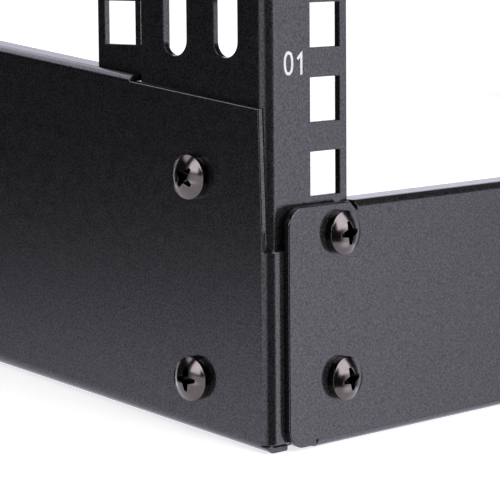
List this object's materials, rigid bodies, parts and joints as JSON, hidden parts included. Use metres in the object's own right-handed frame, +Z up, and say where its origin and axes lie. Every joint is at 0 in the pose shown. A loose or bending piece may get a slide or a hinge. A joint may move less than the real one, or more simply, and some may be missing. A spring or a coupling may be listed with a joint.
{
  "type": "two post open frame rack",
  "caption": "Free-standing two post open frame rack of folded sheet steel, posts leaning back on a low base, with square-hole rails and slotted webs.",
  "frame": {"origin": "on the floor, in the middle of the base", "axes": "+X to the right across the front, +Y from front to rear, +Z up"},
  "size_m": [0.5048, 0.3029, 0.6334],
  "materials": {
    "post_steel": "fine textured black powder coat",
    "base_steel": "fine textured black powder coat"
  },
  "bodies": {
    "root": {"post_left": "post_steel", "post_right": "post_steel", "rear_strip_left": "post_steel", "rear_strip_right": "post_steel", "base_side_left": "base_steel", "base_side_right": "base_steel", "front_cross_panel": "base_steel", "top_cross_panel": "base_steel"}
  },
  "joints": []
}
